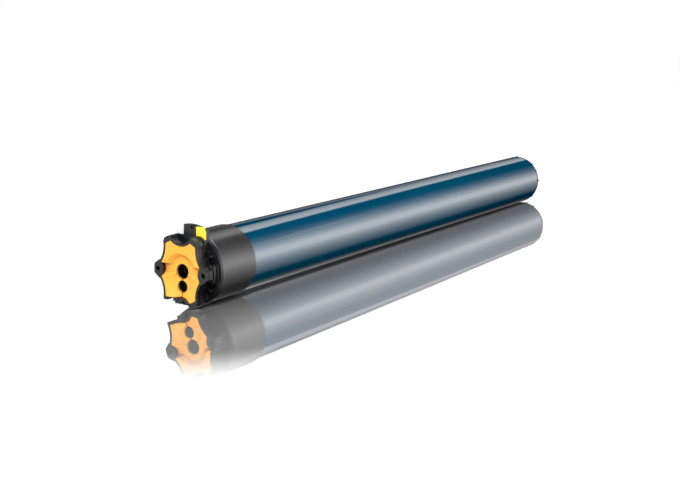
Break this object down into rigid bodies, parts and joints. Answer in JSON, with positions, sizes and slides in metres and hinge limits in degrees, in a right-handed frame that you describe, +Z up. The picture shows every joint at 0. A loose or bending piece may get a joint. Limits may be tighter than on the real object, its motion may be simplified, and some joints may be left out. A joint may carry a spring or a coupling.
{
  "type": "tubular roller blind motor",
  "caption": "Tubular motor for a roller blind: long blue tube, black star head with an amber face and push buttons, rotating crown, limit switch gears and a planetary gearbox.",
  "frame": {"origin": "midway between the two bracket screw holes, at the head's front face on the motor's axis", "axes": "+X along the motor's axis to the output shaft, +Z up through the push buttons, +Y to the left as the head is seen from the front"},
  "size_m": [0.702, 0.064, 0.0704],
  "materials": {
    "head_plastic": "satin moulded black",
    "amber_plastic": "semi-gloss moulded amber",
    "yellow_plastic": "gloss moulded yellow",
    "white_plastic": "gloss moulded white",
    "housing_plastic": "satin moulded black",
    "crown_plastic": "satin moulded dark grey",
    "tube_paint": "gloss blue coating",
    "plated_steel": "zinc plated",
    "spring_steel": "drawn wire",
    "contact_brass": "bright",
    "copper_winding": "enamelled",
    "lamination": "stacked sheet",
    "cast_metal": "die cast",
    "can_metal": "drawn can",
    "board": "lacquered",
    "switch_plastic": "moulded",
    "gear_nylon": "moulded nylon",
    "sintered_steel": "sintered",
    "friction": "pressed",
    "cap_plastic": "moulded black"
  },
  "bodies": {
    "motor": {"head_body": "head_plastic", "face_plate": "amber_plastic", "button_housing": "housing_plastic", "yellow_button_spring": "spring_steel", "white_button_spring": "spring_steel", "cable_socket": "housing_plastic", "socket_contacts": "contact_brass", "limit_front_plate": "plated_steel", "limit_rear_plate": "plated_steel", "counter_axle": "plated_steel", "up_switch": "switch_plastic", "down_switch": "switch_plastic", "tube": "tube_paint", "tube_rivets": "plated_steel", "capacitor": "can_metal", "capacitor_cradle": "cap_plastic", "terminal_board": "board", "thermal_cutout": "switch_plastic", "front_shield": "cast_metal", "stator_core": "lamination", "windings": "copper_winding", "rear_shield": "cast_metal", "front_bearing": "sintered_steel", "rear_bearing": "sintered_steel", "brake_housing": "cast_metal", "brake_spring": "spring_steel", "gearbox_plate": "cast_metal", "ring_gear": "gear_nylon", "output_bearing": "sintered_steel", "end_cap": "cap_plastic"},
    "yellow_button": {"yellow_button": "yellow_plastic"},
    "white_button": {"white_button": "white_plastic"},
    "crown": {"crown": "crown_plastic"},
    "limit_pinion": {"limit_pinion": "gear_nylon"},
    "up_drive_wheel": {"up_drive_wheel": "gear_nylon"},
    "up_cam_wheel": {"up_cam_wheel": "gear_nylon"},
    "down_drive_wheel": {"down_drive_wheel": "gear_nylon"},
    "down_cam_wheel": {"down_cam_wheel": "gear_nylon"},
    "up_switch_lever": {"up_switch_lever": "spring_steel"},
    "down_switch_lever": {"down_switch_lever": "spring_steel"},
    "rotor": {"rotor_shaft": "plated_steel", "rotor_core": "lamination", "rotor_cage": "cast_metal", "brake_disc": "plated_steel", "brake_lining": "friction"},
    "brake_armature": {"brake_armature": "plated_steel"},
    "first_carrier": {"first_carrier": "plated_steel"},
    "second_carrier": {"second_carrier": "plated_steel"},
    "output": {"output_shaft": "plated_steel"},
    "first_planet_a": {"first_planet_a": "gear_nylon"},
    "first_planet_b": {"first_planet_b": "gear_nylon"},
    "first_planet_c": {"first_planet_c": "gear_nylon"},
    "second_planet_a": {"second_planet_a": "gear_nylon"},
    "second_planet_b": {"second_planet_b": "gear_nylon"},
    "second_planet_c": {"second_planet_c": "gear_nylon"},
    "third_planet_a": {"third_planet_a": "gear_nylon"},
    "third_planet_b": {"third_planet_b": "gear_nylon"},
    "third_planet_c": {"third_planet_c": "gear_nylon"}
  },
  "joints": [
    {"name": "yellow_press", "type": "slide", "parent": "motor", "child": "yellow_button", "axis": [0, 0, -1], "range_m": [0, 0.003], "stiffness_N_per_m": 250, "springref_m": -0.002, "deforming": ["yellow_button_spring"]},
    {"name": "white_press", "type": "slide", "parent": "motor", "child": "white_button", "axis": [0, 0, -1], "range_m": [0, 0.003], "stiffness_N_per_m": 250, "springref_m": -0.002, "deforming": ["white_button_spring"]},
    {"name": "crown_spin", "type": "hinge", "parent": "motor", "child": "crown", "pos_m": [0.04, 0, 0], "axis": [1, 0, 0], "continuous": true},
    {"name": "limit_pinion_spin", "type": "hinge", "parent": "motor", "child": "limit_pinion", "pos_m": [0.032, 0, -0.02198], "axis": [1, 0, 0], "continuous": true},
    {"name": "up_drive_wheel_spin", "type": "hinge", "parent": "motor", "child": "up_drive_wheel", "pos_m": [0.032, 0, 0], "axis": [1, 0, 0], "continuous": true},
    {"name": "up_cam_wheel_spin", "type": "hinge", "parent": "motor", "child": "up_cam_wheel", "pos_m": [0.032, 0, 0], "axis": [1, 0, 0], "continuous": true},
    {"name": "down_drive_wheel_spin", "type": "hinge", "parent": "motor", "child": "down_drive_wheel", "pos_m": [0.032, 0, 0], "axis": [1, 0, 0], "continuous": true},
    {"name": "down_cam_wheel_spin", "type": "hinge", "parent": "motor", "child": "down_cam_wheel", "pos_m": [0.032, 0, 0], "axis": [1, 0, 0], "continuous": true},
    {"name": "up_lever_swing", "type": "hinge", "parent": "motor", "child": "up_switch_lever", "pos_m": [0.03, 0.0163, 0.0046], "axis": [1, 0, 0], "range_deg": [0, 8], "stiffness_Nm_per_rad": 0.002, "springref_deg": -5.73},
    {"name": "down_lever_swing", "type": "hinge", "parent": "motor", "child": "down_switch_lever", "pos_m": [0.039, -0.0163, 0.0046], "axis": [-1, 0, 0], "range_deg": [0, 8], "stiffness_Nm_per_rad": 0.002, "springref_deg": -5.73},
    {"name": "rotor_spin", "type": "hinge", "parent": "motor", "child": "rotor", "pos_m": [0.4, 0, 0], "axis": [1, 0, 0], "continuous": true},
    {"name": "brake_release", "type": "slide", "parent": "motor", "child": "brake_armature", "axis": [1, 0, 0], "range_m": [0, 0.00025], "stiffness_N_per_m": 4000, "springref_m": -0.003},
    {"name": "first_carrier_spin", "type": "hinge", "parent": "motor", "child": "first_carrier", "pos_m": [0.53, 0, 0], "axis": [1, 0, 0], "continuous": true},
    {"name": "second_carrier_spin", "type": "hinge", "parent": "motor", "child": "second_carrier", "pos_m": [0.548, 0, 0], "axis": [1, 0, 0], "continuous": true},
    {"name": "output_spin", "type": "hinge", "parent": "motor", "child": "output", "pos_m": [0.6, 0, 0], "axis": [1, 0, 0], "continuous": true},
    {"name": "first_planet_a_spin", "type": "hinge", "parent": "first_carrier", "child": "first_planet_a", "pos_m": [0.522, 0, 0.01503], "axis": [1, 0, 0], "continuous": true},
    {"name": "first_planet_b_spin", "type": "hinge", "parent": "first_carrier", "child": "first_planet_b", "pos_m": [0.522, -0.01302, -0.00751], "axis": [1, 0, 0], "continuous": true},
    {"name": "first_planet_c_spin", "type": "hinge", "parent": "first_carrier", "child": "first_planet_c", "pos_m": [0.522, 0.01302, -0.00751], "axis": [1, 0, 0], "continuous": true},
    {"name": "second_planet_a_spin", "type": "hinge", "parent": "second_carrier", "child": "second_planet_a", "pos_m": [0.54, 0, 0.01503], "axis": [1, 0, 0], "continuous": true},
    {"name": "second_planet_b_spin", "type": "hinge", "parent": "second_carrier", "child": "second_planet_b", "pos_m": [0.54, -0.01302, -0.00751], "axis": [1, 0, 0], "continuous": true},
    {"name": "second_planet_c_spin", "type": "hinge", "parent": "second_carrier", "child": "second_planet_c", "pos_m": [0.54, 0.01302, -0.00751], "axis": [1, 0, 0], "continuous": true},
    {"name": "third_planet_a_spin", "type": "hinge", "parent": "output", "child": "third_planet_a", "pos_m": [0.56, 0, 0.01503], "axis": [1, 0, 0], "continuous": true},
    {"name": "third_planet_b_spin", "type": "hinge", "parent": "output", "child": "third_planet_b", "pos_m": [0.56, -0.01302, -0.00751], "axis": [1, 0, 0], "continuous": true},
    {"name": "third_planet_c_spin", "type": "hinge", "parent": "output", "child": "third_planet_c", "pos_m": [0.56, 0.01302, -0.00751], "axis": [1, 0, 0], "continuous": true}
  ],
  "couplings": [
    {"joint": "limit_pinion_spin", "follows": "crown_spin", "ratio": 4},
    {"joint": "up_drive_wheel_spin", "follows": "crown_spin", "ratio": -2},
    {"joint": "down_drive_wheel_spin", "follows": "crown_spin", "ratio": -2},
    {"joint": "up_cam_wheel_spin", "follows": "crown_spin", "ratio": -2.0571},
    {"joint": "down_cam_wheel_spin", "follows": "crown_spin", "ratio": -2.0571},
    {"joint": "first_carrier_spin", "follows": "rotor_spin", "ratio": 0.2},
    {"joint": "second_carrier_spin", "follows": "rotor_spin", "ratio": 0.04},
    {"joint": "output_spin", "follows": "rotor_spin", "ratio": 0.008},
    {"joint": "first_planet_a_spin", "follows": "rotor_spin", "ratio": -0.53333},
    {"joint": "first_planet_b_spin", "follows": "rotor_spin", "ratio": -0.53333},
    {"joint": "first_planet_c_spin", "follows": "rotor_spin", "ratio": -0.53333},
    {"joint": "second_planet_a_spin", "follows": "rotor_spin", "ratio": -0.10667},
    {"joint": "second_planet_b_spin", "follows": "rotor_spin", "ratio": -0.10667},
    {"joint": "second_planet_c_spin", "follows": "rotor_spin", "ratio": -0.10667},
    {"joint": "third_planet_a_spin", "follows": "rotor_spin", "ratio": -0.021333},
    {"joint": "third_planet_b_spin", "follows": "rotor_spin", "ratio": -0.021333},
    {"joint": "third_planet_c_spin", "follows": "rotor_spin", "ratio": -0.021333}
  ]
}
